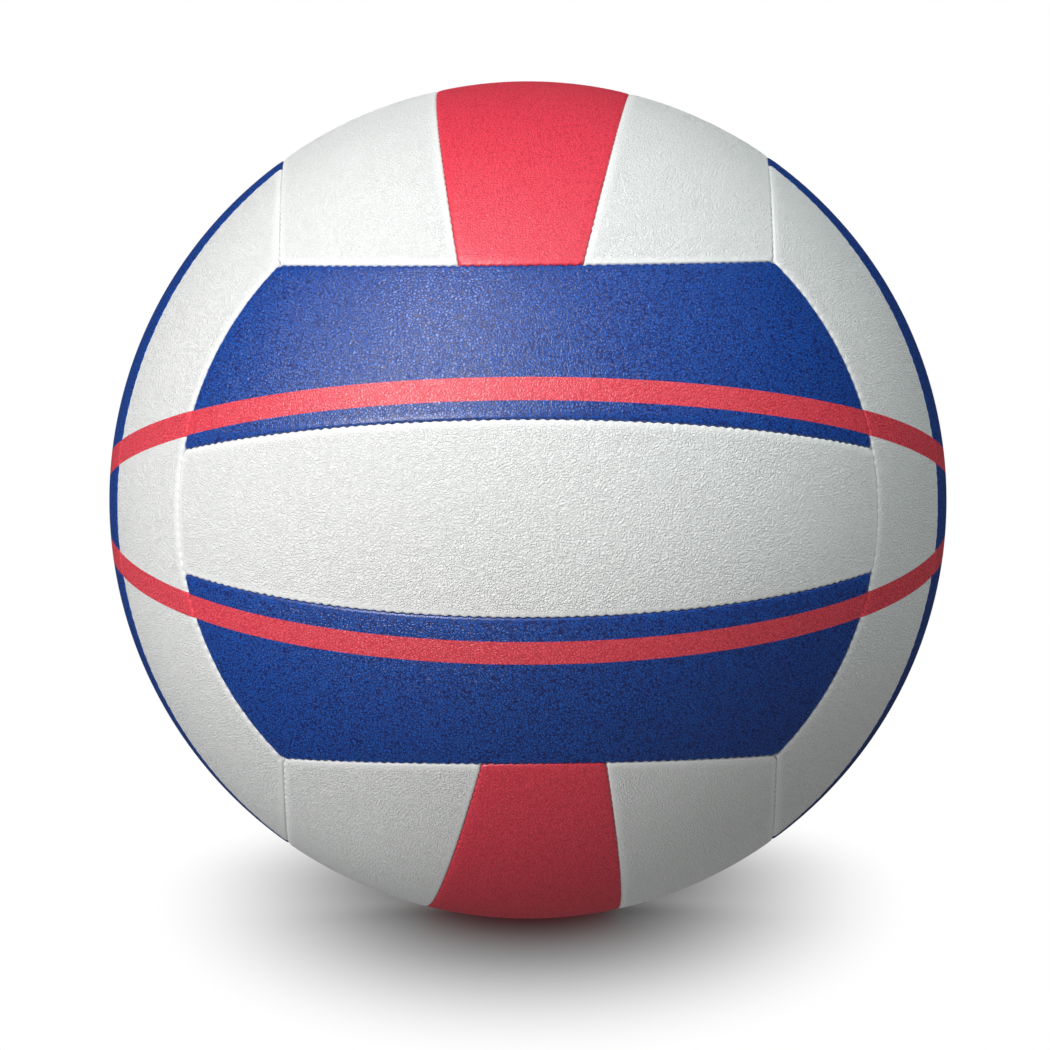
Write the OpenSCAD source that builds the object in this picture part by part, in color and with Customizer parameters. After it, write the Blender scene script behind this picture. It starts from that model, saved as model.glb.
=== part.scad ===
// A volleyball: 18 sewn cover panels, each with its foam backing, round an air bladder with a needle valve.
// The layout is a cube blown up to a sphere. Each of the six faces is three parallel strips,
// and the strips of two faces that meet run at right angles to each other.
// Millimetres. The origin is the ball's centre, +Z is up, and the face towards -Y has level strips.

/* [Ball] */
// Diameter of the inflated ball over its panels
ball_d = 212; // [200:1:220]

/* [Panels] */
// Thickness of the synthetic leather of the cover
cover_t = 1.5; // [1:0.1:1.8]
// Thickness of the foam behind the cover
foam_t = 4.4; // [3:0.1:6]
// Radius at which a panel's edge rolls down into the seam
edge_r = 3; // [2.5:0.1:4]
// Space between the turned-in edges of two panels
seam_gap = 0.2; // [0.1:0.05:0.4]
// Space between a cover and the foam bonded into it
bond_gap = 0.1; // [0.05:0.05:0.2]
// Width of a centre strip at the middle of its face, straight across
strip_mid_w = 48.4; // [44:0.2:54]
// Width of a centre strip at its two ends, straight across
strip_end_w = 30.6; // [26:0.2:40]

/* [Hand of the sewing] */
// Turn of each face's strips, in degrees: front, back, left, right, top, bottom
strip_turns = [0.3, 0, 1, -0.5, 1.8, 3.4]; // [-5:0.1:5]
// Sideways shift of each face's strips, in degrees round the ball, in the same order
strip_shifts = [0.1, 0, 0, -0.5, 1.2, 1.4]; // [-3:0.1:3]

/* [Bladder and valve] */
// Wall of the butyl bladder
bladder_t = 0.9; // [0.6:0.1:1.4]
// Space between the bladder and the backings round it
bladder_gap = 0.2; // [0.1:0.05:0.4]
// Diameter of the valve's neck, which passes through the cover
neck_d = 6.4; // [5.6:0.1:8]
// How far the mouth of the valve lies below the surface of the ball
valve_sink = 0.6; // [0.3:0.1:1]
// Diameter of the flange that holds the housing to the bladder
flange_d = 20; // [16:0.5:26]
// Thickness of that flange
flange_t = 1; // [0.8:0.1:1.5]
// Diameter of the barrel inside the bladder
barrel_d = 10.4; // [9.8:0.1:12]
// How far the barrel reaches into the ball below the flange
barrel_l = 9.6; // [8:0.1:14]
// Thickness of the barrel's closed end
barrel_end_t = 1.2; // [0.8:0.1:2]
// Diameter of the air hole in the barrel's end
air_hole_d = 2; // [1:0.1:3]
// Diameter of the plug's body in the barrel
plug_d = 5.9; // [5:0.1:6.2]
// Diameter of the plug's nose in the neck
nose_d = 3.9; // [3.6:0.1:4.2]
// Diameter of the hole that guides the inflating needle
needle_hole_d = 2.1; // [2:0.05:2.3]
// Depth of that hole below the lead-in
needle_hole_l = 8.2; // [6:0.1:11]
// Depth of the cone that leads the needle in
lead_in_l = 0.8; // [0.5:0.1:1.2]
// Space round the plug, the flange and the neck
valve_gap = 0.05; // [0.03:0.01:0.1]
// Diameter of the reinforcing patch over the flange
patch_d = 34; // [30:0.5:44]
// Thickness of the patch
patch_t = 0.8; // [0.6:0.1:1.2]

/* [Hidden] */
$fn = 96;

// The two colours of leather that the three red and white strips don't have are one blue.
BLUE = "#2450A0";
WHITE = "#E9ECEA";
RED = "#D42B3C";
FOAM = "#E4DFD2";
BUTYL = "#202226";
RUBBER = "#2F3136";
PLUG = "#C9C3B4";

// Radii of the layers, from the outside in
ball_r = ball_d / 2;
foam_r = ball_r - cover_t - bond_gap;
lining_r = foam_r - foam_t;
bladder_r = lining_r - bladder_gap;
bladder_in_r = bladder_r - bladder_t;

// A cube's face seen from its centre: half its corner-free width, as an angle off the face's normal
face_polar = acos(1 / sqrt(3));

// The seam beside a centre strip is a plane that leans outwards, so the strip is widest at mid-face
seam_mid = strip_mid_w / 2;
seam_end = strip_end_w / 2;
mid_depth = sqrt(ball_r * ball_r - seam_mid * seam_mid);
end_depth = ball_r * cos(face_polar);
seam_slope = (seam_mid - seam_end) / (mid_depth - end_depth);
seam_lean = atan(seam_slope);
seam_offset = (seam_mid - seam_slope * mid_depth) * cos(seam_lean);
seam_polar = 90 + asin(seam_offset / ball_r);

// Where the cutting forms start inside the ball and end outside it, as shares of its radius
form_in_share = 0.8;
pocket_in_share = 0.75;
form_out_share = 1.12;
// How much of its radius a rolled edge's circle stands proud of the faces that it blends, so they cross cleanly
proud_share = 0.035;
// Overrun of a cut past the face that it opens
over = 2;

// Faces and the places of the strips on them
FRONT = 0;
BACK = 1;
LEFT = 2;
RIGHT = 3;
TOP = 4;
BOTTOM = 5;
FACES = [FRONT, BACK, LEFT, RIGHT, TOP, BOTTOM];
LOW = -1;
CENTRE = 0;
HIGH = 1;
PLACES = [LOW, CENTRE, HIGH];

// Turns the front face, whose strips are level, onto each face
face_turns = [[0, 0, 0], [0, 0, 180], [0, -90, -90], [0, -90, 90], [-90, 0, 90], [90, 0, 90]];
face_names = ["front", "back", "left", "right", "top", "bottom"];
strip_names = [
    ["lower", "centre", "upper"],
    ["lower", "centre", "upper"],
    ["front", "centre", "rear"],
    ["rear", "centre", "front"],
    ["right", "centre", "left"],
    ["left", "centre", "right"]
];
strip_colours = [
    [BLUE, WHITE, BLUE],
    [BLUE, WHITE, BLUE],
    [WHITE, BLUE, WHITE],
    [WHITE, BLUE, WHITE],
    [WHITE, RED, WHITE],
    [WHITE, RED, WHITE]
];

function strip_name(face, place) = str(face_names[face], "_", strip_names[face][place + 1]);
function cover_name(face, place) = str(strip_name(face, place), "_panel");
function backing_name(face, place) = str(strip_name(face, place), "_backing");

// A point at radius r, at the angle polar from the axis of a turned profile
function ray(polar, r) = [r * sin(polar), r * cos(polar)];

// A step of length r at right angles to that ray, away from the axis
function across(polar, r) = [r * cos(polar), -r * sin(polar)];

// The profile inside a wall that points at the ball's centre, moved in by inset
module wedge(polar, inset, r_in, r_out) {
    polygon([
        ray(0, r_in),
        ray(polar / 3, r_in),
        ray(polar * 2 / 3, r_in),
        ray(polar, r_in) - across(polar, inset),
        ray(polar, r_out) - across(polar, inset),
        ray(polar * 2 / 3, r_out),
        ray(polar / 3, r_out),
        ray(0, r_out)
    ]);
}

// What a rolled edge of radius r takes off the corner between that wall and the ball's surface
module rolled_off(polar, inset, surface_r, r) {
    kept = r * (1 - proud_share);
    back = inset + kept;
    middle = ray(polar, sqrt(pow(surface_r - kept, 2) - back * back)) - across(polar, back);
    outwards = middle / norm(middle) * surface_r;
    aside = across(polar, r + back + over);
    difference() {
        polygon([middle, middle + outwards, middle + outwards + aside, middle + aside]);
        translate(middle) circle(r);
    }
}

// Everything on the near side of a seam that is a circle round +Z, with the edge rolled over
module beside_seam(polar, inset, surface_r, r) {
    rotate_extrude() difference() {
        wedge(polar, inset, ball_r / 2, surface_r * form_out_share);
        rolled_off(polar, inset, surface_r, r);
    }
}

// The round cap inside the ends of the front face's strips, solid down to r_in
module end_cap(inset, surface_r, r_in, r) {
    rotate([90, 0, 0]) rotate([0, 0, 90]) rotate_extrude() difference() {
        intersection() {
            wedge(face_polar, inset, ball_r / 2, surface_r * form_out_share);
            circle(surface_r);
        }
        circle(r_in);
        rolled_off(face_polar, inset, surface_r, r);
    }
}

// Turns what belongs to the upper seam of the front face into the lower seam
module for_place(place) {
    rotate([0, place == LOW ? 180 : 0, 0]) children();
}

// Moves a seam as the hand of the sewing left it on that face
module as_sewn(face) {
    rotate([strip_shifts[face], 0, 0]) rotate([0, strip_turns[face], 0]) children();
}

// One strip of the front face as a solid block of the ball, with its edges rolled over
module strip_form(face, place, inset, surface_r, r_in, r) {
    intersection() {
        end_cap(inset, surface_r, r_in, r);
        if (place == CENTRE) {
            as_sewn(face) rotate([180 - seam_lean, 0, 0]) beside_seam(seam_polar, inset, surface_r, r);
        } else {
            as_sewn(face) for_place(place) rotate([-seam_lean, 0, 0])
                beside_seam(180 - seam_polar, inset, surface_r, r);
        }
        if (place == CENTRE) {
            as_sewn(face) rotate([seam_lean, 0, 0]) beside_seam(seam_polar, inset, surface_r, r);
        } else {
            for_place(place) rotate([180, 0, 0]) beside_seam(90 + asin(cos(face_polar)), inset, surface_r, r);
        }
    }
}

// A hole for the valve's neck, through whatever lies on the valve's axis
module neck_hole() {
    rotate([-90, 0, 0]) cylinder(d = neck_d + 2 * valve_gap, h = ball_r + over);
}

// A cover panel: a shallow tray of leather whose rolled edges turn in to the seams
module cover(face, place) {
    color(strip_colours[face][place + 1])
    difference() {
        rotate(face_turns[face]) difference() {
            strip_form(face, place, seam_gap / 2, ball_r, ball_r * form_in_share, edge_r);
            strip_form(
                face, place, seam_gap / 2 + cover_t, ball_r - cover_t, ball_r * pocket_in_share, edge_r - cover_t
            );
            sphere(lining_r);
        }
        if (face == BACK && place == CENTRE) {
            neck_hole();
        }
    }
}

// A backing: the foam that fills a cover's tray
module backing(face, place) {
    color(FOAM)
    difference() {
        rotate(face_turns[face]) difference() {
            strip_form(
                face,
                place,
                seam_gap / 2 + cover_t + bond_gap,
                foam_r,
                ball_r * form_in_share,
                edge_r - cover_t - bond_gap
            );
            sphere(lining_r);
        }
        if (face == BACK && place == CENTRE) {
            neck_hole();
        }
    }
}

// The bladder that holds the air, with the hole that the valve is bonded into
module bladder() {
    color(BUTYL)
    difference() {
        sphere(bladder_r);
        sphere(bladder_in_r);
        neck_hole();
    }
}

// Distances from the ball's centre along the valve's axis, which is +Y
mouth_y = ball_r - valve_sink;
flange_r = bladder_in_r - valve_gap;
barrel_y = flange_r - flange_t - barrel_l;
seat_y = barrel_y + barrel_end_t;
shoulder_y = flange_r - flange_t - valve_gap - over;

// Stands a profile drawn with the valve's axis upright onto +Y and turns it round that axis
module turned_on_valve() {
    rotate([-90, 0, 0]) rotate_extrude() children();
}

// A box of a profile that stands on the axis
module on_axis(d, from_y, to_y) {
    translate([0, from_y]) square([d / 2, to_y - from_y]);
}

// The moulded rubber housing: a neck, a curved flange that follows the bladder, and a barrel
module valve_housing() {
    color(RUBBER)
    turned_on_valve() difference() {
        union() {
            on_axis(neck_d, barrel_y + barrel_end_t, mouth_y);
            on_axis(barrel_d, barrel_y, flange_r - flange_t / 2);
            intersection() {
                difference() {
                    circle(flange_r);
                    circle(flange_r - flange_t);
                }
                on_axis(flange_d, barrel_y, ball_r);
            }
        }
        on_axis(plug_d + 2 * valve_gap, seat_y, shoulder_y + valve_gap);
        on_axis(nose_d + 2 * valve_gap, seat_y, ball_r);
        on_axis(air_hole_d, 0, ball_r);
    }
}

// The self-sealing plug: a body seated in the barrel and a nose with the needle's guide hole
module valve_core() {
    color(PLUG)
    turned_on_valve() difference() {
        union() {
            on_axis(plug_d, seat_y + valve_gap, shoulder_y);
            on_axis(nose_d, seat_y + valve_gap, mouth_y);
        }
        on_axis(needle_hole_d, mouth_y - lead_in_l - needle_hole_l, ball_r);
        polygon([
            [0, mouth_y - lead_in_l],
            [needle_hole_d / 2, mouth_y - lead_in_l],
            [needle_hole_d / 2 + lead_in_l / 2, mouth_y],
            [needle_hole_d / 2 + lead_in_l / 2, ball_r],
            [0, ball_r]
        ]);
    }
}

// The patch that bonds over the flange on the inside of the bladder
module valve_patch() {
    color(BUTYL)
    turned_on_valve() difference() {
        intersection() {
            circle(flange_r);
            on_axis(patch_d, barrel_y, ball_r);
        }
        circle(flange_r - flange_t - valve_gap - patch_t);
        intersection() {
            difference() {
                circle(ball_r);
                circle(flange_r - flange_t - valve_gap);
            }
            on_axis(flange_d + 2 * valve_gap, barrel_y, ball_r);
        }
        on_axis(barrel_d + 2 * valve_gap, 0, ball_r);
    }
}

for (face = FACES) {
    for (place = PLACES) {
        cover(face, place);
        backing(face, place);
    }
}
bladder();
valve_housing();
valve_core();
valve_patch();
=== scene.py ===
# %% [markdown]
# A sewn volleyball, from its flat-cut covers to the thread in its seams.
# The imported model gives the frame: 40 named solids in metres, with the ball's centre at the origin,
# +Z up and the valve towards +Y. Everything below is made round that frame and rides on it.

# %% Load the frame
import math

import bmesh
import bpy
import numpy as np
from mathutils import Euler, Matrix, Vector


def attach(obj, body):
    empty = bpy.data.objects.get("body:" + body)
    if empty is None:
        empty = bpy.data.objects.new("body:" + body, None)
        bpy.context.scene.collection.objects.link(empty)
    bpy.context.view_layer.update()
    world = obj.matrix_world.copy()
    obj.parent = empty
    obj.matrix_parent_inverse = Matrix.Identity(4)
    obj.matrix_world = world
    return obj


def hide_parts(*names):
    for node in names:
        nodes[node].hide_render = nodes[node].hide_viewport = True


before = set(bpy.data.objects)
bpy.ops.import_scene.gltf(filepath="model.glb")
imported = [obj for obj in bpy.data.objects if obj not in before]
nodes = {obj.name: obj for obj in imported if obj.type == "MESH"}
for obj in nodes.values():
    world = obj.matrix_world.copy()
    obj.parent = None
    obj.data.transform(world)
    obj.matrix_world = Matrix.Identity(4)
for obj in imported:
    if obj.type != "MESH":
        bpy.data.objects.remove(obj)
bpy.ops.object.select_all(action="DESELECT")
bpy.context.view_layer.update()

# %% [markdown]
# The ball was photographed from about 2.4 m away with a long lens, so it shows almost half of itself,
# with hardly any perspective. The camera stands 2.4 degrees above the ball's equator and aims a little
# below its centre, which leaves room for the shadow.

# %% Camera
BALL_R = 0.106
CAMERA_FAR = 2.406
CAMERA_UP = math.radians(2.43)
CAMERA_ROLL = math.radians(0.42)
AIM_BELOW = math.radians(0.151)
SENSOR_MM = 36
LENS_MM = 325.5

bpy.ops.object.camera_add(
    location=(0, -CAMERA_FAR * math.cos(CAMERA_UP), CAMERA_FAR * math.sin(CAMERA_UP)),
    rotation=(math.pi / 2 - CAMERA_UP - AIM_BELOW, CAMERA_ROLL, 0),
)
camera = bpy.context.object
camera.name = "camera"
camera.data.sensor_width = SENSOR_MM
camera.data.lens = LENS_MM
bpy.context.scene.camera = camera
print("camera", [round(c, 3) for c in camera.location], "lens", LENS_MM, "mm")

# %% [markdown]
# One function turns a written colour into the linear numbers that a shader works in, and one adds a node
# with its settings and its inputs, where an input is a value or another node's socket. The nodes that
# come most often have a short function each, which gives back the socket that the next node needs.

# %% Colour and nodes
WHITE = (1.0, 1.0, 1.0, 1.0)


def linear(code):
    """An sRGB hex colour as linear RGBA."""
    parts = [int(code[i : i + 2], 16) / 255 for i in (1, 3, 5)]
    return [p / 12.92 if p <= 0.04045 else ((p + 0.055) / 1.055) ** 2.4 for p in parts] + [1.0]


def add_node(tree, kind, settings=None, inputs=None):
    """Adds a node of that kind, sets its properties, and sets or links its inputs."""
    node = tree.nodes.new(kind)
    for name, value in (settings or {}).items():
        setattr(node, name, value)
    for key, value in (inputs or {}).items():
        if isinstance(value, bpy.types.NodeSocket):
            tree.links.new(value, node.inputs[key])
        else:
            node.inputs[key].default_value = value
    return node


def maths(tree, operation, *terms):
    """The result of a sum on values or sockets."""
    return add_node(tree, "ShaderNodeMath", {"operation": operation}, dict(enumerate(terms))).outputs[0]


def ranged(tree, value, from_min=0.0, from_max=1.0, to_min=0.0, to_max=1.0, smooth=False):
    """A value moved from one range to another and held at its ends, in a straight or a smooth way."""
    settings = {"interpolation_type": "SMOOTHSTEP"} if smooth else {}
    inputs = {"Value": value, "From Min": from_min, "From Max": from_max, "To Min": to_min, "To Max": to_max}
    return add_node(tree, "ShaderNodeMapRange", settings, inputs).outputs[0]


def mixed(tree, share, first, second):
    """A colour between two colours."""
    return add_node(tree, "ShaderNodeMix", {"data_type": "RGBA"}, {0: share, 6: first, 7: second}).outputs[2]


def object_place(tree):
    """The place on the object, in metres."""
    return add_node(tree, "ShaderNodeTexCoord").outputs["Object"]


def seen_by_camera(tree):
    """1 for what the camera sees, straight or through glass, and 0 for all else."""
    path = add_node(tree, "ShaderNodeLightPath")
    return maths(tree, "MAXIMUM", path.outputs["Is Camera Ray"], path.outputs["Is Transmission Ray"])


def new_material(name):
    """A material with only its output node, and its node tree."""
    material = bpy.data.materials.new(name)
    material.use_nodes = True
    tree = material.node_tree
    tree.nodes.clear()
    return material, tree, add_node(tree, "ShaderNodeOutputMaterial")


# %% [markdown]
# The studio is one big soft box to the left of the camera with a smaller one above it, a fill on either
# side, one behind the ball, and a dim, cool, even room. The room looks white to the camera only. The gloss
# of the leather meets a dark room, and the fills leave no gloss, as in the photograph, where the shaded
# side of the ball is deep and clear.

# %% Room
ROOM_LIGHT = 0.03
ROOM_TINT = (0.90, 0.98, 1.0, 1)

bpy.context.scene.view_settings.view_transform = "Standard"
world = bpy.data.worlds.new("room")
bpy.context.scene.world = world
world.use_nodes = True
room = world.node_tree
room.nodes.clear()
seen = seen_by_camera(room)
air = mixed(room, seen, ROOM_TINT, WHITE)
strength = ranged(room, seen, to_min=ROOM_LIGHT)
glow = add_node(room, "ShaderNodeBackground", inputs={"Color": air, "Strength": strength})
add_node(room, "ShaderNodeOutputWorld", inputs={"Surface": glow.outputs[0]})
print("room light", ROOM_LIGHT)

# %% Soft boxes
LAMP_FAR = 2.0
KEY_TINT = (1.0, 0.975, 0.98)
FILL_TINT = (0.96, 0.99, 1.0)
COOL_TINT = (0.92, 0.99, 1.0)


def soft_box(name, azimuth, elevation, size, power, tint):
    """An area lamp that faces the ball, placed by its bearing from the camera. power is in watts."""
    az = math.radians(azimuth)
    el = math.radians(elevation)
    place = Vector((math.sin(az) * math.cos(el), -math.cos(az) * math.cos(el), math.sin(el))) * LAMP_FAR
    bpy.ops.object.light_add(type="AREA", location=place, rotation=place.to_track_quat("Z", "Y").to_euler())
    lamp = bpy.context.object
    lamp.name = name
    lamp.data.shape = "RECTANGLE"
    lamp.data.size = size[0]
    lamp.data.size_y = size[1]
    lamp.data.energy = power
    lamp.data.color = tint
    print(name, "at", [round(c, 2) for c in place], power, "W")
    return lamp


keys = [
    soft_box("key_soft_box", -33, 18, (1.2, 0.95), 32, KEY_TINT),
    soft_box("high_key_soft_box", -33, 52, (0.65, 0.65), 15.5, KEY_TINT),
]
fills = [
    soft_box("left_fill", -100, -3, (0.9, 0.9), 16, FILL_TINT),
    soft_box("right_fill", 62, 50, (0.9, 0.9), 18, COOL_TINT),
    soft_box("back_fill", 178, 18, (0.5, 0.5), 20, FILL_TINT),
]
for lamp in fills:
    lamp.visible_glossy = False

# %% [markdown]
# The floor is plain and pale. What it throws up under the ball is an even, dim glow, as from a wide lit
# floor. To the camera it is white, and keeps the ball's shadow. The shadow in the photograph comes towards
# the camera and is deepest under the ball, so the floor has a lamp of its own, behind the ball, through
# light linking: the other lamps leave the floor out, and this one leaves the ball out. Round that shadow a
# pool of shade is painted on the floor: inside it the floor is painted a dim grey, and out of it the floor
# becomes the white of the room. The painted pool is an ellipse with its middle a little behind the ball, and
# reaches further to the front than to the back.

# %% Floor
FLOOR_SIZE = 12
FLOOR_CELLS = 8
FLOOR_GAP = 0.0001
FLOOR_GLOW = 0.36
# The dim grey painted on the floor as shade near the ball, and the ellipse of that painted pool of shade
PAINTED_SHADE_GREY = 0.2
SHADE_HALF_WIDTH = 0.102
SHADE_MIDDLE = 0.12
SHADE_REACH_FRONT = 0.49
SHADE_REACH_BACK = 0.30
SHADE_CORE = 0.21

floor_paint, tree, output = new_material("matt_studio_floor")
seen = seen_by_camera(tree)
glossy = add_node(tree, "ShaderNodeLightPath").outputs["Is Glossy Ray"]
x, y = add_node(tree, "ShaderNodeSeparateXYZ", inputs={0: object_place(tree)}).outputs[:2]
# The ellipse of painted shade: the floor is painted dim grey inside it and turns to the white of the room
# outside
aside = maths(tree, "MULTIPLY", x, 1 / SHADE_HALF_WIDTH)
in_front = maths(tree, "MULTIPLY_ADD", y, -1 / SHADE_REACH_FRONT, SHADE_MIDDLE / SHADE_REACH_FRONT)
behind = maths(tree, "MULTIPLY_ADD", y, 1 / SHADE_REACH_BACK, -SHADE_MIDDLE / SHADE_REACH_BACK)
spread = add_node(
    tree, "ShaderNodeCombineXYZ", inputs={0: aside, 1: maths(tree, "MAXIMUM", in_front, behind)}
)
away = add_node(tree, "ShaderNodeVectorMath", {"operation": "LENGTH"}, {0: spread.outputs[0]})
out_of_painted_shade = ranged(tree, away.outputs["Value"], from_min=SHADE_CORE, smooth=True)
# The dim grey inside the ellipse is painted shade, and it also takes the real shadow cast by the floor lamp
matt = add_node(tree, "ShaderNodeBsdfDiffuse", inputs={"Color": [PAINTED_SHADE_GREY] * 3 + [1]})
bright = add_node(tree, "ShaderNodeEmission", inputs={"Strength": 1.0})
cast_and_painted_shade = add_node(tree, "ShaderNodeMixShader", inputs={0: out_of_painted_shade, 1: matt.outputs[0], 2: bright.outputs[0]})
near_glow = ranged(tree, glossy, to_min=FLOOR_GLOW, to_max=ROOM_LIGHT)
dim = add_node(tree, "ShaderNodeEmission", inputs={"Strength": near_glow})
either = add_node(tree, "ShaderNodeMixShader", inputs={0: seen, 1: dim.outputs[0], 2: cast_and_painted_shade.outputs[0]})
tree.links.new(either.outputs[0], output.inputs["Surface"])

bpy.ops.mesh.primitive_grid_add(
    x_subdivisions=FLOOR_CELLS,
    y_subdivisions=FLOOR_CELLS,
    size=FLOOR_SIZE,
    location=(0, 0, -BALL_R - FLOOR_GAP),
)
floor = bpy.context.object
floor.name = "studio_floor"
floor.data.materials.append(floor_paint)
bpy.ops.object.transform_apply(location=True)
print("floor at", round(floor.data.vertices[0].co.z, 4))

# %% Light for the floor
FLOOR_WATTS = 40

floor_lamp = soft_box("floor_lamp", 180, 36, (1.5, 1.0), FLOOR_WATTS, WHITE[:3])
only_floor = bpy.data.collections.new("lit_by_the_floor_lamp")
only_floor.objects.link(floor)
floor_lamp.light_linking.receiver_collection = only_floor
not_floor = bpy.data.collections.new("left_out_by_the_other_lamps")
not_floor.objects.link(floor)
not_floor.collection_objects[0].light_linking.link_state = "EXCLUDE"
for lamp in keys + fills:
    lamp.light_linking.receiver_collection = not_floor
print("floor lamp", FLOOR_WATTS, "W")

# %% [markdown]
# The ball's plan is a cube blown up to a sphere. Each face is three parallel strips, and its borders are
# circles: the two seams beside the centre strip, the two outer edges, and the circle that cuts all the
# strips' ends. A circle is kept as its axis and the distance of its plane from the centre, and what
# belongs to a strip lies on the near side of that plane. All is written for the front face, and a turn
# takes it to the others. The widths, turns and shifts are those of the solids.

# %% Plan of the covers
FACE_EDGE = BALL_R / math.sqrt(3)
HALF_MID = 0.0484 / 2
HALF_END = 0.0306 / 2
MID_DEPTH = math.sqrt(BALL_R**2 - HALF_MID**2)
SEAM_SLOPE = (HALF_MID - HALF_END) / (MID_DEPTH - FACE_EDGE)
SEAM_LEAN = math.atan(SEAM_SLOPE)
SEAM_OFFSET = (HALF_MID - SEAM_SLOPE * MID_DEPTH) * math.cos(SEAM_LEAN)

# Name, turn from the front face, then the turn and shift of its strips, their names and their leathers
FACES = [
    ("front", (0, 0, 0), 0.3, 0.1, ("lower", "centre", "upper"), ("blue", "white", "blue")),
    ("back", (0, 0, 180), 0, 0, ("lower", "centre", "upper"), ("blue", "white", "blue")),
    ("left", (0, -90, -90), 1, 0, ("front", "centre", "rear"), ("white", "blue", "white")),
    ("right", (0, -90, 90), -0.5, -0.5, ("rear", "centre", "front"), ("white", "blue", "white")),
    ("top", (-90, 0, 90), 1.8, 1.2, ("right", "centre", "left"), ("white", "red", "white")),
    ("bottom", (90, 0, 90), 3.4, 1.4, ("left", "centre", "right"), ("white", "red", "white")),
]
PLACES = ("low", "centre", "high")


def turning(x, y, z):
    """A turn round X, then Y, then Z, in degrees, as a matrix for rows of points."""
    return np.array(Euler([math.radians(a) for a in (x, y, z)]).to_matrix())


def beyond(circle):
    """The same circle, for what lies on its other side."""
    return -circle[0], -circle[1]


def borders(turn, shift, place):
    """The low border, high border and end border of a strip of the front face."""
    hand = turning(shift, 0, 0) @ turning(0, turn, 0)
    high_seam = (hand @ (0, math.sin(SEAM_LEAN), math.cos(SEAM_LEAN)), SEAM_OFFSET)
    low_seam = (hand @ (0, math.sin(SEAM_LEAN), -math.cos(SEAM_LEAN)), SEAM_OFFSET)
    ends = (np.array((0.0, 1, 0)), -FACE_EDGE)
    if place == "low":
        return (np.array((0.0, 0, -1)), FACE_EDGE), beyond(low_seam), ends
    if place == "high":
        return beyond(high_seam), (np.array((0.0, 0, 1)), FACE_EDGE), ends
    return low_seam, high_seam, ends


print("face edge", round(FACE_EDGE * 1000, 1), "mm, seam lean", round(math.degrees(SEAM_LEAN), 1), "degrees")

# %% [markdown]
# A cover starts as a flat grid, as the real one starts as a flat cut of leather. Its outermost cells are
# turned in to the seam, the next three bend over the edge, and the rest lie on the ball. Only the cells
# along the border are fine, because only they bend tightly and carry the puckers of the stitches.
# The functions here say how far each point lies from the fold, and where on the ball that is.

# %% Laying a flat cut on the ball
TURNED_IN = 0.0020
ROLL = 0.00042
BAND = 0.0033
BAND_CELLS = 3
EDGE_CELLS = 1 + BAND_CELLS
FIRST_SPREAD = 1.9
ROUNDS = 14


def inset(circle, gap):
    """The circle moved inwards over the ball by gap."""
    return circle[0], BALL_R * math.sin(math.asin(circle[1] / BALL_R) - gap / BALL_R)


def rolled(laid, roll):
    """How far a point has come in from the fold, when it is laid that far along the leather."""
    quarter = roll * math.pi / 2
    over = np.where(laid < quarter, roll * (1 - np.cos(laid / roll)), laid - roll * (math.pi / 2 - 1))
    return np.where(laid < 0, 0, over)


def paced(cells, count, roll, turned):
    """For a row of cells: a fixed distance, a share of the full length, and how far they are turned in."""
    near = np.minimum(cells, count - cells)
    fixed = rolled((near - 1) * BAND / BAND_CELLS, roll)
    share = (cells - EDGE_CELLS) / (count - 2 * EDGE_CELLS)
    inner = near > EDGE_CELLS
    far = np.where(cells > count / 2, 1.0, 0.0)
    start = rolled(np.array(BAND), roll) * (1 - 2 * share)
    return (
        np.where(inner, start, fixed * (1 - 2 * far)),
        np.where(inner, share, far),
        np.clip(1 - near, 0, 1) * turned,
    )


def latitude(circle, azimuth):
    """Where a border circle crosses the meridian at each azimuth."""
    (x, y, z), offset = circle
    lean = x * np.sin(azimuth) - y * np.cos(azimuth)
    reach = np.arccos(offset / BALL_R / np.hypot(lean, z))
    return np.arctan2(z, lean) - math.copysign(1, z) * reach


def directions(along, across, strip):
    """Unit vectors from the ball's centre for paced points of a strip, found in a few rounds."""
    low, high, ends = strip
    azimuth = (along[1] - 0.5) * FIRST_SPREAD
    for _ in range(ROUNDS):
        bottom = latitude(low, azimuth)
        top = latitude(high, azimuth)
        lat = bottom + across[0] / BALL_R + across[1] * (top - bottom)
        half = np.arccos(-ends[1] / BALL_R / np.cos(lat))
        azimuth = -half + along[0] / (BALL_R * np.cos(lat)) + along[1] * 2 * half
    return np.stack([np.cos(lat) * np.sin(azimuth), -np.cos(lat) * np.cos(azimuth), np.sin(lat)], axis=1)


def away_from(circle, points):
    """Distance over the ball from each direction in to the circle."""
    return BALL_R * (math.asin(circle[1] / BALL_R) - np.arcsin(np.clip(points @ circle[0], -1, 1)))


print("a fold takes", round(ROLL * math.pi / 2 * 1000, 2), "mm of leather")

# %% [markdown]
# The seams are sewn with a stitch every 2.4 mm. Each stitch pulls both covers down and bends the seam's
# line a little to one side, and between stitches the leather swells back, so the line is a row of small
# scallops with short folds running out of it. Some stitches are tighter than others. They are counted
# from the middle of each seam, so the two covers that meet there pucker at the same places.
# What a stitch does fades with the distance from the seam, and its reach is where a third of it is left.

# %% Stitch puckers
STITCH = 0.0024
SWAY = 0.00018
PINCH = 0.00006
SIDEWAYS_REACH = 0.0011
PULL = 0.00022
PULL_REACH = 0.0009
FOLD = 0.00004
FOLD_REACH = 0.0025
FOLD_LENGTH = 0.0043
FOLD_WANDER = 190
FOLD_GROUP = 0.0173
UNEVEN = 0.28
UNEVEN_LONG = 0.031
UNEVEN_SHORT = 0.0113


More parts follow.
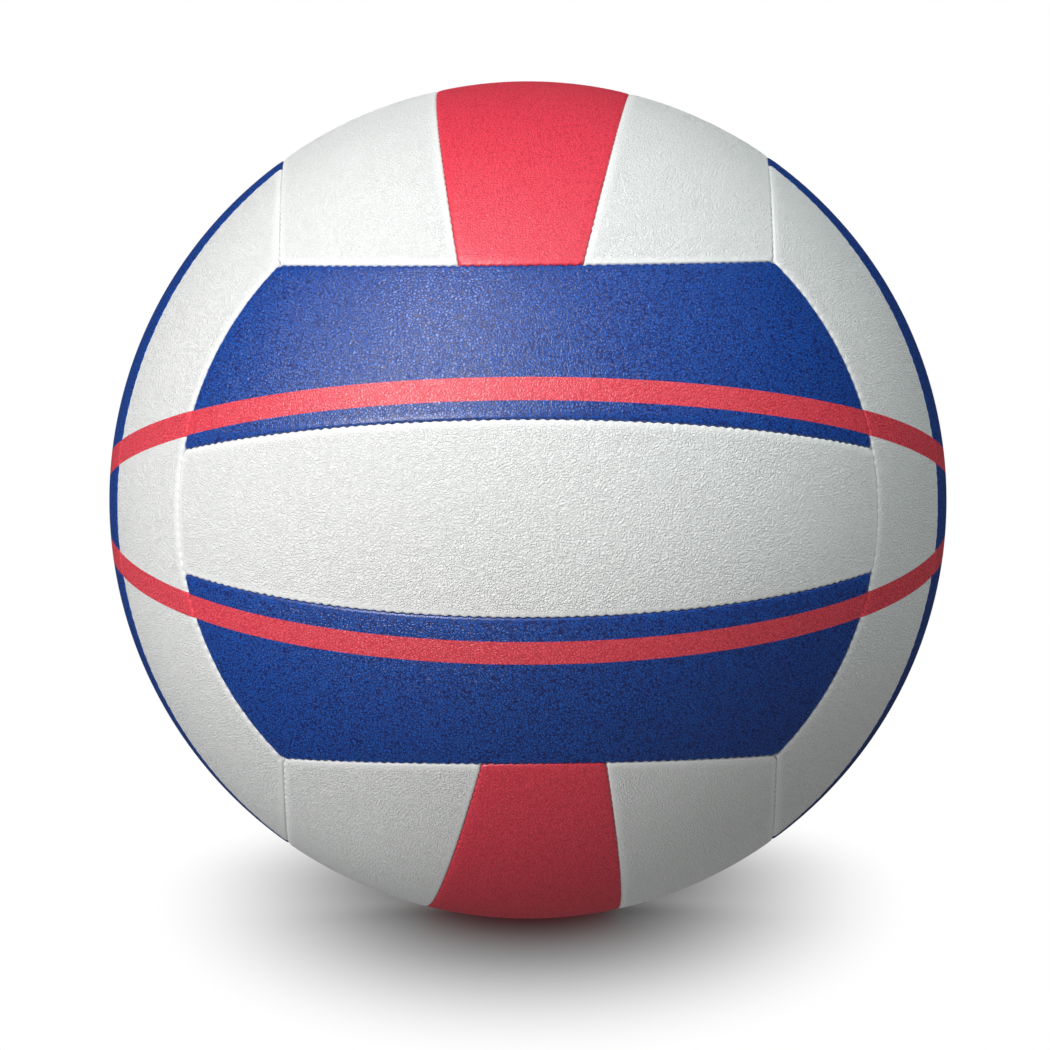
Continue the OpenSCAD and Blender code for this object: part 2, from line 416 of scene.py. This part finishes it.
def along_seam(circle, points, middle):
    """Distance along a border circle from its middle."""
    axis, offset = circle
    start = middle - (middle @ axis)[..., None] * axis
    start = start / np.linalg.norm(start, axis=-1, keepdims=True)
    side = np.cross(axis, start)
    angle = np.abs(np.arctan2((points * side).sum(axis=1), (points * start).sum(axis=1)))
    return angle * math.sqrt(BALL_R**2 - offset**2)


def wave(distance, length, phase=0.0):
    """A wave of that length along a seam."""
    return np.sin(distance * 2 * math.pi / length + phase)


def sewn(points, strip):
    """How far the stitches move each direction inwards, and how far they pull it down."""
    nearest_end = np.where(points[:, :1] < 0, -1, 1) * (1.0, 0, 0)
    middles = [np.array((0.0, -1, 0)), np.array((0.0, -1, 0)), nearest_end]
    moved = np.zeros_like(points)
    pulled = np.zeros(len(points))
    for circle, middle in zip(strip, middles):
        gap = np.clip(away_from(circle, points), 0, None)
        s = along_seam(circle, points, middle)
        tight = 1 - UNEVEN + UNEVEN * wave(s, UNEVEN_LONG) * wave(s, UNEVEN_SHORT, 1)
        stitch = np.cos(math.pi * s / STITCH) ** 4 * tight
        folds = wave(s, FOLD_LENGTH, 2 * np.sin(s * FOLD_WANDER)) * wave(s, FOLD_GROUP, 0.7)
        inwards = -(circle[0] - (points @ circle[0])[:, None] * points)
        inwards /= np.linalg.norm(inwards, axis=1, keepdims=True)
        sway = np.cos(2 * math.pi * s / STITCH) * tight * math.copysign(SWAY, circle[1])
        moved += inwards * ((sway + PINCH * stitch) * np.exp(-gap / SIDEWAYS_REACH))[:, None]
        pulled += PULL * stitch * np.exp(-gap / PULL_REACH)
        pulled += FOLD * folds * np.exp(-gap / FOLD_REACH)
    return moved / BALL_R, pulled


seam_length = math.sqrt(BALL_R**2 - FACE_EDGE**2) * math.pi / 2
print("about", round(seam_length / STITCH), "stitches in a seam between two faces")

# %% [markdown]
# A cover's edge rolls down over less than half a millimetre, and lies in a shallow dip, because the
# stitches hold it a little below the ball's surface. Its corners are rounded.

# %% Shape a cover
CORNER = 0.0012
DIP = 0.00015
DIP_REACH = 0.0010
PAST_EDGE_SLOPE = 1.6
CUTS = 3
MERGE = 0.00002
SHARP = math.radians(60)


def drop_at_edge(points, strip, roll):
    """How deep the rolled edge lies at each direction, and how far in from the seam that is."""
    low, high, ends = strip
    side = np.minimum(away_from(low, points), away_from(high, points))
    end = away_from(ends, points)
    a = np.clip(CORNER - side, 0, None)
    b = np.clip(CORNER - end, 0, None)
    gap = np.where(a + b > 0, CORNER - np.hypot(a, b), np.minimum(side, end))
    inner = np.clip(gap, 0, roll)
    drop = roll - np.sqrt(np.clip(roll**2 - (roll - inner) ** 2, 0, None))
    dip = DIP * np.exp(-np.clip(gap, 0, None) / DIP_REACH)
    return np.where(gap < 0, roll - PAST_EDGE_SLOPE * gap, drop) + dip, gap


def cells_of(piece, columns, rows):
    """The place of each vertex of a flat grid, in cells."""
    flat = np.array([v.co for v in piece.data.vertices])
    return (flat[:, 0] + 1) / 2 * columns, (flat[:, 1] + 1) / 2 * rows


def shape(piece, points):
    """Puts the vertices of a piece at those points."""
    piece.data.vertices.foreach_set("co", np.ascontiguousarray(points, np.float32).ravel())
    piece.data.update()


def flat_cut(name, columns, rows):
    """A flat grid of that many cells, two units wide and high."""
    bpy.ops.object.select_all(action="DESELECT")
    bpy.ops.mesh.primitive_grid_add(x_subdivisions=columns, y_subdivisions=rows, size=2)
    piece = bpy.context.object
    piece.name = name
    piece.data.name = name
    return piece


def chosen_faces(mesh, chosen):
    """The faces of a flat grid whose middle makes chosen(x, y) true."""
    return [face for face in mesh.faces if chosen(*face.calc_center_median().xy)]


def divide_faces(piece, chosen):
    """Cuts the chosen faces into smaller ones."""
    mesh = bmesh.new()
    mesh.from_mesh(piece.data)
    edges = dict.fromkeys(edge for face in chosen_faces(mesh, chosen) for edge in face.edges)
    bmesh.ops.subdivide_edges(mesh, edges=list(edges), cuts=CUTS, use_grid_fill=True)
    mesh.to_mesh(piece.data)
    mesh.free()


def delete_faces(piece, chosen):
    """Takes the chosen faces out."""
    mesh = bmesh.new()
    mesh.from_mesh(piece.data)
    bmesh.ops.delete(mesh, geom=chosen_faces(mesh, chosen), context="FACES")
    mesh.to_mesh(piece.data)
    mesh.free()


def thicken(piece, thickness):
    """Merges what lies in one place, gives the skin its thickness inwards and smooths its shading."""
    bpy.ops.object.mode_set(mode="EDIT")
    bpy.ops.mesh.select_all(action="SELECT")
    bpy.ops.mesh.remove_doubles(threshold=MERGE)
    bpy.ops.object.mode_set(mode="OBJECT")
    wall = piece.modifiers.new("thickness", "SOLIDIFY")
    wall.thickness = thickness
    wall.offset = -1
    bpy.ops.object.modifier_apply(modifier=wall.name)
    bpy.ops.object.shade_smooth_by_angle(angle=SHARP)


# %% [markdown]
# Eighteen covers are cut, laid, rolled and puckered the same way, and each replaces the plain solid of
# its name. The back centre cover has the valve's hole at its middle, so its cells there are divided too,
# drawn from a square into a circle round the hole, and rolled down at the rim.

# %% Covers
COLUMNS = 92
ROWS = 26
COVER_T = 0.0015
SEAM_GAP = 0.00003
HOLE_R = 0.00335
HOLE_ROLL = 0.0009
HOLE_CELLS = 1.25
HOLE_REACH = 4
HOLE_DIVIDED = 4.1
HOLE_STEP = 0.0021
TINY = 1e-6


def on_border(x, y):
    """True in the cells that are turned in or rolled, by their place on the flat grid."""
    near_x = min(x + 1, 1 - x) * COLUMNS / 2
    near_y = min(y + 1, 1 - y) * ROWS / 2
    return min(near_x, near_y) < EDGE_CELLS


def cells_out(x, y):
    """How many cells a place on the flat grid lies out from its middle."""
    return max(abs(x) * COLUMNS, abs(y) * ROWS) / 2


def cut_hole(piece):
    """Divides the cells at the middle of a flat grid and takes out those inside the valve's hole."""
    divide_faces(piece, lambda x, y: cells_out(x, y) < HOLE_DIVIDED)
    delete_faces(piece, lambda x, y: cells_out(x, y) < HOLE_CELLS)


def round_the_hole(points, across_cells, along_cells):
    """Draws the cells at the middle of a strip from a square into a circle."""
    ring = np.maximum(np.abs(along_cells - COLUMNS / 2), np.abs(across_cells - ROWS / 2))
    share = np.clip((HOLE_REACH - ring) / (HOLE_REACH - HOLE_CELLS), 0, 1)
    share = share * share * (3 - 2 * share)
    out = np.hypot(points[:, 0], points[:, 2])
    wanted = (HOLE_R + (ring - HOLE_CELLS) * HOLE_STEP) / BALL_R
    scale = 1 + share * (wanted / np.maximum(out, TINY) - 1)
    x = points[:, 0] * scale
    z = points[:, 2] * scale
    return np.stack([x, -np.sqrt(np.clip(1 - x * x - z * z, 0, 1)), z], axis=1)


def make_cover(name, strip, turn, has_valve):
    """One cover, from a flat grid to a closed skin of leather."""
    piece = flat_cut(name, COLUMNS, ROWS)
    divide_faces(piece, on_border)
    if has_valve:
        cut_hole(piece)
    columns, rows = cells_of(piece, COLUMNS, ROWS)
    along = paced(columns, COLUMNS, ROLL, TURNED_IN)
    across = paced(rows, ROWS, ROLL, TURNED_IN)
    points = directions(along, across, strip)
    if has_valve:
        points = round_the_hole(points, rows, columns)
    drop, gap = drop_at_edge(points, strip, ROLL)
    moved, pulled = sewn(points, strip)
    radius = BALL_R - drop - pulled - np.maximum(along[2], across[2])
    if has_valve:
        rim = np.clip(np.hypot(points[:, 0], points[:, 2]) * BALL_R - HOLE_R, 0, HOLE_ROLL)
        radius -= HOLE_ROLL - np.sqrt(HOLE_ROLL**2 - (HOLE_ROLL - rim) ** 2)
    points = points + moved
    points /= np.linalg.norm(points, axis=1, keepdims=True)
    shape(piece, (points * radius[:, None]) @ turning(*turn).T)
    to_seam = piece.data.attributes.new("to_seam", "FLOAT", "POINT")
    to_seam.data.foreach_set("value", (gap * 1000).astype(np.float32))
    thicken(piece, COVER_T)
    return piece


covers = {}
cover_leather = {}
for face_name, turn, strip_turn, strip_shift, names, leathers in FACES:
    for place, strip_name, leather in zip(PLACES, names, leathers):
        node = f"{face_name}_{strip_name}_panel"
        strip = [inset(c, SEAM_GAP) for c in borders(strip_turn, strip_shift, place)]
        piece = make_cover(f"{face_name}_{strip_name}_cover", strip, turn, node == "back_centre_panel")
        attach(piece, "root")
        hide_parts(node)
        covers[node] = piece
        cover_leather[node] = leather
    print(face_name, "covers of", len(piece.data.polygons), "faces each")

# %% [markdown]
# The leather is polyurethane on a woven backing, pressed with a fine grain while it was warm. A pebble
# is about 0.7 mm across and a little out of round, and fine slanting wrinkles run over the pebbles. The
# creases are duller than the tips, which carry a satin gloss, and they are painted darker than the tips:
# painted shade in the creases. Creases this fine hardly show from where the camera stands, so they are
# drawn a little wider than they are. Next to a seam the stretched leather is smoother.

# %% Grain of the leather
PEBBLE = 0.00072
PEBBLE_CREASE = 0.28
WOBBLE = 0.0009
WOBBLE_SCALE = 700
WRINKLE = 0.00042
WRINKLE_SLANT = math.radians(-40)
WRINKLE_STRETCH = (0.6, 0.8, 1)
WRINKLE_FROM = 0.36
WRINKLE_TO = 0.64
SWELL = 0.0032
SWELL_HEIGHT = 1.2


def pressed_grain(tree, place, wrinkled):
    """The height of the pebbles and wrinkles, first alone and then with the slow swell under them."""
    wobble = add_node(
        tree, "ShaderNodeTexNoise", inputs={"Vector": place, "Scale": WOBBLE_SCALE, "Detail": 1.0}
    )
    bent = add_node(
        tree,
        "ShaderNodeVectorMath",
        {"operation": "MULTIPLY_ADD"},
        {0: wobble.outputs["Color"], 1: (WOBBLE, WOBBLE, WOBBLE), 2: place},
    )
    pebbles = add_node(
        tree,
        "ShaderNodeTexVoronoi",
        {"feature": "DISTANCE_TO_EDGE"},
        {"Vector": bent.outputs[0], "Scale": 1 / PEBBLE},
    )
    pebble = ranged(tree, pebbles.outputs["Distance"], from_max=PEBBLE_CREASE, smooth=True)
    slanted = add_node(
        tree,
        "ShaderNodeMapping",
        inputs={"Vector": bent.outputs[0], "Rotation": (0, WRINKLE_SLANT, 0), "Scale": WRINKLE_STRETCH},
    )
    wrinkles = add_node(
        tree,
        "ShaderNodeTexNoise",
        inputs={"Vector": slanted.outputs[0], "Scale": 1 / WRINKLE, "Detail": 0.5, "Distortion": 0.2},
    )
    wrinkle = ranged(tree, wrinkles.outputs[0], WRINKLE_FROM, WRINKLE_TO, smooth=True)
    swell = add_node(tree, "ShaderNodeTexNoise", inputs={"Vector": place, "Scale": 1 / SWELL, "Detail": 2})
    grain = maths(tree, "MULTIPLY_ADD", wrinkle, wrinkled, pebble)
    return grain, maths(tree, "MULTIPLY_ADD", swell.outputs[0], SWELL_HEIGHT, grain)


# %% [markdown]
# The stripe is red ink, printed over the grain. On the sides it rises from the middle of the side face to
# the front and the back, with a smooth bend where it turns. It is mirrored above and below, and the whole
# print sits a little low and a little aslant, as in the photograph.

# %% Printed stripe
# The ink's colour on the tips, and its darker colour in the creases, which is painted shade
STRIPE_TIP = "#F05260"
STRIPE_VALLEY = "#CC3040"
STRIPE_Z = 0.0068
STRIPE_SLOPE = 0.249
STRIPE_BEND = 0.015
STRIPE_TILT = 0.006
STRIPE_LOWERED = 0.0009
STRIPE_HALF_SIDE = 0.0032
STRIPE_HALF_FRONT = 0.00302
INK_EDGE = 0.00008


def printed_stripe(tree, place):
    """1 where the stripe's ink lies and 0 elsewhere."""
    x, y, z = add_node(tree, "ShaderNodeSeparateXYZ", inputs={0: place}).outputs
    tilted = maths(tree, "MULTIPLY_ADD", x, STRIPE_TILT, z)
    up = maths(tree, "ABSOLUTE", maths(tree, "ADD", tilted, STRIPE_LOWERED))
    eased = maths(tree, "SQRT", maths(tree, "MULTIPLY_ADD", y, y, STRIPE_BEND**2))
    rise = maths(tree, "MULTIPLY_ADD", eased, -STRIPE_SLOPE, up)
    off = maths(tree, "ABSOLUTE", maths(tree, "SUBTRACT", rise, STRIPE_Z))
    on_front = maths(tree, "GREATER_THAN", maths(tree, "ABSOLUTE", y), FACE_EDGE)
    half = ranged(tree, on_front, to_min=STRIPE_HALF_SIDE, to_max=STRIPE_HALF_FRONT)
    return ranged(tree, maths(tree, "SUBTRACT", half, off), -INK_EDGE, INK_EDGE)


# %% Grained leather
GRAIN_DEPTH = 0.00016
STRETCH_FROM = 0.3
STRETCH_TO = 2.6
STRETCH_SHARE = 0.25
TONE_FROM = 0.15
TONE_TO = 0.8
CREASE_ROUGHER = 0.15


def grained_leather(name, tip, valley, relief, rough, wrinkled, ior):
    """Leather with a pressed grain. tip and valley are its colours, the darker valley colour being painted
    shade in the creases, and relief is the depth of its grain.
    """
    material, tree, output = new_material(name)
    place = object_place(tree)
    grain, height = pressed_grain(tree, place, wrinkled)
    to_seam = add_node(tree, "ShaderNodeAttribute", {"attribute_name": "to_seam"}).outputs["Fac"]
    stretched = ranged(tree, to_seam, STRETCH_FROM, STRETCH_TO, STRETCH_SHARE * relief, relief, smooth=True)
    bump = add_node(
        tree, "ShaderNodeBump", inputs={"Strength": stretched, "Distance": GRAIN_DEPTH, "Height": height}
    )
    # The grain's height sets the colour: the creases take the darker valley colour as painted shade, the
    # tips the tip colour. The stripe's ink is shaded the same way.
    tone = ranged(tree, grain, TONE_FROM, TONE_TO + wrinkled / 2, smooth=True)
    dye_and_painted_crease_shade = mixed(tree, tone, linear(valley), linear(tip))
    ink_and_painted_crease_shade = mixed(tree, tone, linear(STRIPE_VALLEY), linear(STRIPE_TIP))
    surface = add_node(
        tree,
        "ShaderNodeBsdfPrincipled",
        inputs={
            "Base Color": mixed(tree, printed_stripe(tree, place), dye_and_painted_crease_shade, ink_and_painted_crease_shade),
            "Roughness": ranged(tree, tone, to_min=rough + CREASE_ROUGHER, to_max=rough),
            "Normal": bump.outputs[0],
            "IOR": ior,
        },
    )
    tree.links.new(surface.outputs[0], output.inputs["Surface"])
    return material


# Name, colour of the tips, colour of the valleys (darker, as painted shade), relief, roughness of the tips,
# share of wrinkles, refraction
leather_paint = {
    "blue": grained_leather("blue_grained_pu_leather", "#1656B2", "#071A62", 0.5, 0.31, 0.3, 1.8),
    "white": grained_leather("white_grained_pu_leather", "#E8EAE8", "#DEE1DF", 0.95, 0.55, 0.5, 1.5),
    "red": grained_leather("red_grained_pu_leather", "#F24A5C", "#D02A40", 0.45, 0.31, 0.3, 1.8),
}
for node, piece in covers.items():
    piece.data.materials.append(leather_paint[cover_leather[node]])
print(len(covers), "covers in", len(leather_paint), "leathers")

# %% [markdown]
# Behind each cover lies its backing, a sheet of foam with a cloth face that fills the cover's tray and
# gives the ball its soft touch. It is cut to the same plan, a wall's thickness further in, thickened
# inwards to its 4.2 mm, and its edges are softened with a bevel. It shows only through the section of a
# cut ball, so it has large faces.

# %% Foam backings
FOAM_R = BALL_R - 0.00165
FOAM_T = 0.0042
FOAM_IN = 0.0018
FOAM_ROLL = 0.0002
FOAM_ROUND = 0.0007
FOAM_SHARP = math.radians(50)
FOAM_CELLS = (46, 14)


def make_backing(name, strip, turn, has_valve):
    """One foam backing, laid inside its cover."""
    columns, rows = (COLUMNS, ROWS) if has_valve else FOAM_CELLS
    piece = flat_cut(name, columns, rows)
    if has_valve:
        cut_hole(piece)
    column, row = cells_of(piece, columns, rows)
    points = directions(paced(column, columns, FOAM_ROLL, 0), paced(row, rows, FOAM_ROLL, 0), strip)
    if has_valve:
        points = round_the_hole(points, row, column)
    shape(piece, points @ turning(*turn).T * FOAM_R)
    thicken(piece, FOAM_T)
    soft = piece.modifiers.new("soft edges", "BEVEL")
    soft.width = FOAM_ROUND
    soft.segments = 2
    soft.limit_method = "ANGLE"
    soft.angle_limit = FOAM_SHARP
    bpy.ops.object.modifier_apply(modifier=soft.name)
    bpy.ops.object.shade_smooth_by_angle(angle=FOAM_SHARP)
    return piece


backings = []
for face_name, turn, strip_turn, strip_shift, names, _ in FACES:
    for place, strip_name in zip(PLACES, names):
        node = f"{face_name}_{strip_name}_backing"
        strip = [inset(c, FOAM_IN) for c in borders(strip_turn, strip_shift, place)]
        piece = make_backing(f"{face_name}_{strip_name}_foam", strip, turn, node == "back_centre_backing")
        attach(piece, "root")
        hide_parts(node)
        backings.append(piece)
print(len(backings), "backings,", len(backings[0].data.polygons), "faces in the first")

# %% [markdown]
# The thread is bonded polyester, half a millimetre thick. It lies inside the seam, and where a stitch
# crosses the groove a short rung of it shows between the two covers. One rung is modelled, a round bar
# whose ends are drawn in so that they sink into the leather, and copied to each stitch of a seam.

# %% One stitch
THREAD_D = 0.0005
RUNG = 0.0014
SIDES = 8
# Place of each ring of points along the rung, and its radius, as shares
RINGS = ((-0.5, 0.5), (-0.3, 1), (0.3, 1), (0.5, 0.5))

corners = 2 * math.pi * np.arange(SIDES) / SIDES
ring = np.stack([np.cos(corners), np.sin(corners), 0 * corners], axis=1) * THREAD_D / 2
rung_points = np.concatenate([ring * share + (0, 0, place * RUNG) for place, share in RINGS])
last_ring = SIDES * (len(RINGS) - 1)
rung_faces = [list(range(SIDES))[::-1], list(range(last_ring, last_ring + SIDES))]
for start in range(0, last_ring, SIDES):
    for corner in range(SIDES):
        first = start + corner
        second = start + (corner + 1) % SIDES
        rung_faces.append([first, second, second + SIDES, first + SIDES])
print("a stitch has", len(rung_faces), "faces")

# %% Thread in the seams
RUNG_DEPTH = 0.0014
END_MARGIN = 0.0012
# More than half a seam, in radians. What lies beyond its ends is left out.
HALF_SEAM = 1.1


def thread_of(name, circle, turn):
    """The rungs of one seam, as one piece. Each lies across the groove, a little under the surface."""
    axis, offset = circle
    radius = math.sqrt(BALL_R**2 - offset**2)
    start = np.array((0.0, -1, 0)) + axis[1] * axis
    start /= np.linalg.norm(start)
    side = np.cross(axis, start)
    reach = int(radius * HALF_SEAM / STITCH)
    rungs = []
    for count in range(-reach, reach + 1):
        angle = count * STITCH / radius
        out = (axis * offset + radius * (start * math.cos(angle) + side * math.sin(angle))) / BALL_R
        if -out[1] * BALL_R < FACE_EDGE + END_MARGIN:
            continue
        across = axis - (axis @ out) * out
        across /= np.linalg.norm(across)
        lying = np.stack([np.cross(across, out), out, across])
        rungs.append(rung_points @ lying + out * (BALL_R - RUNG_DEPTH))
    points = np.concatenate(rungs) @ turning(*turn).T
    faces = [[v + k * len(rung_points) for v in face] for k in range(len(rungs)) for face in rung_faces]
    mesh = bpy.data.meshes.new(name)
    mesh.from_pydata([tuple(p) for p in points], [], faces)
    piece = bpy.data.objects.new(name, mesh)
    bpy.context.collection.objects.link(piece)
    bpy.ops.object.select_all(action="DESELECT")
    piece.select_set(True)
    bpy.context.view_layer.objects.active = piece
    bpy.ops.object.mode_set(mode="EDIT")
    bpy.ops.mesh.select_all(action="SELECT")
    bpy.ops.mesh.normals_make_consistent(inside=False)
    bpy.ops.object.mode_set(mode="OBJECT")
    bpy.ops.object.shade_smooth()
    return piece, len(rungs)


threads = []
stitches = 0
for face_name, turn, strip_turn, strip_shift, names, _ in FACES:
    low_seam, high_seam = borders(strip_turn, strip_shift, "centre")[:2]
    low_edge = borders(strip_turn, strip_shift, "low")[0]
    high_edge = borders(strip_turn, strip_shift, "high")[1]
    for strip_name, kind, circle in (
        (names[0], "seam", low_seam),
        (names[2], "seam", high_seam),
        (names[0], "edge", low_edge),
        (names[2], "edge", high_edge),
    ):
        piece, count = thread_of(f"{face_name}_{strip_name}_{kind}_thread", circle, turn)
        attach(piece, "root")
        threads.append(piece)
        stitches += count
print(stitches, "stitches in", len(threads), "seams")

# %% [markdown]
# Polyester thread is two plies twisted together, which shows as a slanting ridge, and it is smooth
# enough to shine a little.

# %% Thread material
PLY = 0.0005
PLY_DEPTH = 0.00008
PLY_ROUGH = 0.55

thread_paint, tree, output = new_material("bonded_polyester_thread")
ply = add_node(
    tree,
    "ShaderNodeTexWave",
    {"bands_direction": "DIAGONAL"},
    {"Vector": object_place(tree), "Scale": 0.3 / PLY, "Distortion": 1.0},
).outputs[1]
twist = add_node(tree, "ShaderNodeBump", inputs={"Strength": 0.5, "Distance": PLY_DEPTH, "Height": ply})
tone = mixed(tree, ply, linear("#C9CBC8"), linear("#E6E7E3"))
polyester = add_node(
    tree,
    "ShaderNodeBsdfPrincipled",
    inputs={"Base Color": tone, "Roughness": PLY_ROUGH, "Normal": twist.outputs[0]},
)
tree.links.new(polyester.outputs[0], output.inputs["Surface"])
for piece in threads:
    piece.data.materials.append(thread_paint)

# %% [markdown]
# The inner pieces keep the shapes of their solids and get their real finishes. Open-cell polyurethane
# foam shows its cells, about half a millimetre across. The bladder is butyl, dipped and dusted with talc,
# so it is a dull black with a pale bloom. The valve's housing is moulded rubber with a fine spark-eroded
# texture, and its plug a softer, paler rubber.

# %% Foam and rubber
BLOOM_SCALE = 0.12
CELL_RELIEF = 0.6


def mottled(name, dark, light, size, depth, rough_low, rough_high):
    """Foam or rubber: two tones and a relief that follow cells or grains of that size."""
    material, tree, output = new_material(name)
    place = object_place(tree)
    cells = add_node(tree, "ShaderNodeTexVoronoi", {"feature": "F1"}, {"Vector": place, "Scale": 1 / size})
    cell = cells.outputs["Distance"]
    bloom = add_node(
        tree, "ShaderNodeTexNoise", inputs={"Vector": place, "Scale": BLOOM_SCALE / size, "Detail": 4}
    ).outputs[0]
    tone = mixed(tree, maths(tree, "MULTIPLY", cell, bloom), linear(light), linear(dark))
    relief = add_node(
        tree,
        "ShaderNodeBump",
        {"invert": True},
        {"Strength": CELL_RELIEF, "Distance": depth, "Height": cell},
    )
    rough = ranged(tree, bloom, to_min=rough_low, to_max=rough_high)
    surface = add_node(
        tree,
        "ShaderNodeBsdfPrincipled",
        inputs={"Base Color": tone, "Roughness": rough, "Normal": relief.outputs[0]},
    )
    tree.links.new(surface.outputs[0], output.inputs["Surface"])
    return material


# Name, dark tone, light tone, size of a cell, depth of the relief, lowest and highest roughness
foam_paint = mottled("open_cell_pu_foam", "#C9BFA6", "#EDE6D2", 0.0005, 0.0002, 0.8, 0.95)
butyl_paint = mottled("talced_butyl_rubber", "#191A1C", "#3B3D40", 0.0006, 0.00003, 0.6, 0.85)
housing_paint = mottled("moulded_valve_rubber", "#26282B", "#34373B", 0.00025, 0.00002, 0.5, 0.65)
plug_paint = mottled("soft_plug_rubber", "#BDB7A8", "#D2CCBE", 0.0003, 0.00002, 0.45, 0.6)
for piece in backings:
    piece.data.materials.append(foam_paint)
for node, paint in (
    ("bladder", butyl_paint),
    ("valve_patch", butyl_paint),
    ("valve_housing", housing_paint),
    ("valve_core", plug_paint),
):
    for slot in nodes[node].material_slots:
        slot.material = paint
    print(node, "in", paint.name)
